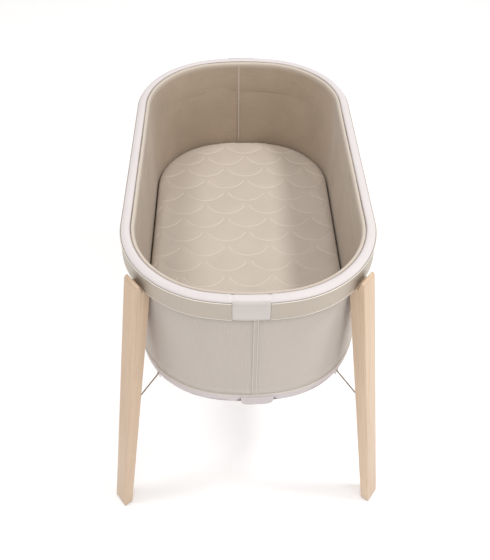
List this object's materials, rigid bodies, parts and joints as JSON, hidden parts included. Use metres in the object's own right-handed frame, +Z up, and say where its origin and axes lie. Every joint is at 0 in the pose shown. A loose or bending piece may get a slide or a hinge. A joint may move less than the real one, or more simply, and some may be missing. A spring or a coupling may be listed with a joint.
{
  "type": "moses basket",
  "caption": "Oval fabric bassinet with a padded rim on a metal rail, a quilted mattress, and splayed square wooden legs with wire stays.",
  "frame": {"origin": "on the floor under the middle of the basket", "axes": "+Z up, +Y along the basket towards its rear end, +X to the right seen from the front"},
  "size_m": [0.711, 0.9398, 0.8104],
  "materials": {
    "rail": "satin champagne anodised",
    "steel": "zinc plated",
    "screw": "plated",
    "core": "matt",
    "foam": "soft foam",
    "rim_fabric": "fine plain weave",
    "piping": "corded edge",
    "tab_fabric": "fine plain weave",
    "liner": "matt padded weave",
    "seam": "stitched tape",
    "mesh": "open ribbed mesh",
    "hem": "corded edge",
    "bottom_fabric": "fine plain weave",
    "board": "raw board",
    "mattress_fabric": "quilted knit",
    "beech": "clear matt lacquer",
    "glide": "matt",
    "wire": "bronze coated"
  },
  "bodies": {
    "root": {"rail_left": "rail", "rail_right": "rail", "rail_joiner_front": "steel", "rail_joiner_rear": "steel", "rail_screws": "screw", "rim_core": "core", "rim_foam": "foam", "rim_cover": "rim_fabric", "rim_piping": "piping", "front_tab": "tab_fabric", "rear_tab": "tab_fabric", "liner_left": "liner", "liner_right": "liner", "liner_seams": "seam", "wall_left": "mesh", "wall_right": "mesh", "wall_seam_front": "seam", "wall_seam_rear": "seam", "hem_piping": "hem", "bottom_skirt": "bottom_fabric", "bottom_panel": "bottom_fabric", "front_flap": "bottom_fabric", "rear_flap": "bottom_fabric", "base_board": "board", "base_frame": "steel", "base_crossbars": "steel", "tongue_front_left": "steel", "tongue_front_right": "steel", "tongue_rear_left": "steel", "tongue_rear_right": "steel", "tongue_screws": "screw", "stay_hook_front_left": "steel", "stay_hook_front_right": "steel", "stay_hook_rear_left": "steel", "stay_hook_rear_right": "steel"},
    "mattress": {"mattress_foam": "foam", "mattress_cover": "mattress_fabric"},
    "leg_front_left": {"leg_front_left": "beech", "foot_glide_front_left": "glide", "stay_hinge_front_left": "wire", "stay_fixings_front_left": "wire"},
    "stay_front_left": {"stay_front_left": "wire"},
    "leg_front_right": {"leg_front_right": "beech", "foot_glide_front_right": "glide", "stay_hinge_front_right": "wire", "stay_fixings_front_right": "wire"},
    "stay_front_right": {"stay_front_right": "wire"},
    "leg_rear_left": {"leg_rear_left": "beech", "foot_glide_rear_left": "glide", "stay_hinge_rear_left": "wire", "stay_fixings_rear_left": "wire"},
    "stay_rear_left": {"stay_rear_left": "wire"},
    "leg_rear_right": {"leg_rear_right": "beech", "foot_glide_rear_right": "glide", "stay_hinge_rear_right": "wire", "stay_fixings_rear_right": "wire"},
    "stay_rear_right": {"stay_rear_right": "wire"}
  },
  "joints": [
    {"name": "mattress_lift", "type": "slide", "parent": "root", "child": "mattress", "axis": [0, 0, 1], "range_m": [0, 0.3]},
    {"name": "leg_front_left_plug", "type": "slide", "parent": "root", "child": "leg_front_left", "axis": [-0.1387, -0.1045, -0.9848], "range_m": [0, 0.06]},
    {"name": "leg_front_right_plug", "type": "slide", "parent": "root", "child": "leg_front_right", "axis": [0.1387, -0.1045, -0.9848], "range_m": [0, 0.06]},
    {"name": "leg_rear_left_plug", "type": "slide", "parent": "root", "child": "leg_rear_left", "axis": [-0.1387, 0.1045, -0.9848], "range_m": [0, 0.06]},
    {"name": "leg_rear_right_plug", "type": "slide", "parent": "root", "child": "leg_rear_right", "axis": [0.1387, 0.1045, -0.9848], "range_m": [0, 0.06]},
    {"name": "stay_front_left_swing", "type": "hinge", "parent": "leg_front_left", "child": "stay_front_left", "pos_m": [-0.26351, -0.39291, 0.391], "axis": [-0.6018, 0.7986, 0], "range_deg": [0, 125]},
    {"name": "stay_front_right_swing", "type": "hinge", "parent": "leg_front_right", "child": "stay_front_right", "pos_m": [0.26351, -0.39291, 0.391], "axis": [-0.6018, -0.7986, 0], "range_deg": [0, 125]},
    {"name": "stay_rear_left_swing", "type": "hinge", "parent": "leg_rear_left", "child": "stay_rear_left", "pos_m": [-0.26351, 0.39291, 0.391], "axis": [0.6018, 0.7986, 0], "range_deg": [0, 125]},
    {"name": "stay_rear_right_swing", "type": "hinge", "parent": "leg_rear_right", "child": "stay_rear_right", "pos_m": [0.26351, 0.39291, 0.391], "axis": [0.6018, -0.7986, 0], "range_deg": [0, 125]}
  ]
}
